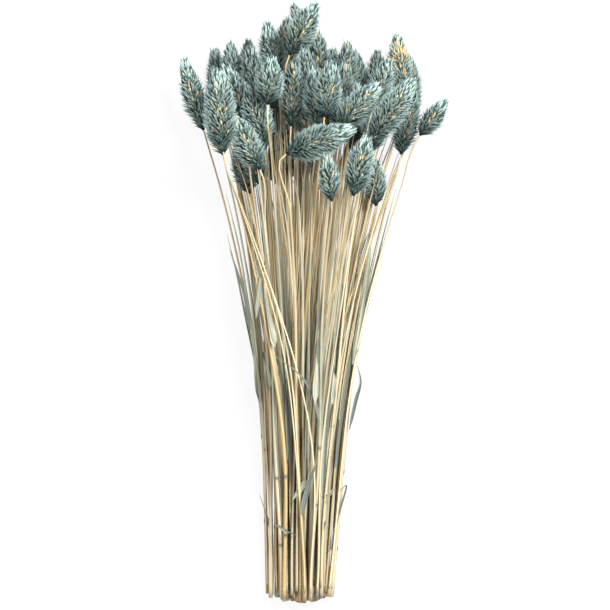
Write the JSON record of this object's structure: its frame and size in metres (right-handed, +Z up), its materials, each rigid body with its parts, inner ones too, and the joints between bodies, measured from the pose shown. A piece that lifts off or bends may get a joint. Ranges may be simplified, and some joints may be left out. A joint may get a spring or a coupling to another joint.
{
  "type": "bunch of dried canary grass",
  "caption": "Loose bunch of dried grass lying down: long straw stems with leaf blades fan out to egg-shaped scaly seed heads dyed dusty blue green; for vases and dried arrangements.",
  "frame": {"origin": "on the table, under the middle of the bunch's box", "axes": "+Y along the bunch from the cut ends to the seed heads, +X across it to the right as the picture shows it, +Z up from the table"},
  "size_m": [0.2018, 0.4532, 0.1555],
  "materials": {
    "dyed_head": "matt, dyed dusty blue green, scaly",
    "straw": "dull satin dried straw, some of it grey green"
  },
  "bodies": {
    "root": {"stems_1": "straw", "head_1_01": "dyed_head", "head_1_02": "dyed_head", "head_1_03": "dyed_head", "head_1_04": "dyed_head", "head_1_05": "dyed_head", "head_1_06": "dyed_head", "head_1_07": "dyed_head", "head_1_08": "dyed_head", "head_1_09": "dyed_head", "head_1_10": "dyed_head", "stems_2": "straw", "head_2_01": "dyed_head", "head_2_02": "dyed_head", "head_2_03": "dyed_head", "head_2_04": "dyed_head", "head_2_05": "dyed_head", "head_2_06": "dyed_head", "head_2_07": "dyed_head", "head_2_08": "dyed_head", "head_2_09": "dyed_head", "head_2_10": "dyed_head", "stems_3": "straw", "head_3_01": "dyed_head", "head_3_02": "dyed_head", "head_3_03": "dyed_head", "head_3_04": "dyed_head", "head_3_05": "dyed_head", "head_3_06": "dyed_head", "head_3_07": "dyed_head", "head_3_08": "dyed_head", "head_3_09": "dyed_head", "stems_4": "straw", "head_4_01": "dyed_head", "head_4_02": "dyed_head", "head_4_03": "dyed_head", "head_4_04": "dyed_head", "head_4_05": "dyed_head", "head_4_06": "dyed_head", "head_4_07": "dyed_head", "head_4_08": "dyed_head", "stems_5": "straw", "head_5_01": "dyed_head", "head_5_02": "dyed_head", "head_5_03": "dyed_head", "head_5_04": "dyed_head", "head_5_05": "dyed_head", "head_5_06": "dyed_head", "stems_6": "straw", "head_6_01": "dyed_head", "head_6_02": "dyed_head", "head_6_03": "dyed_head"}
  },
  "joints": []
}
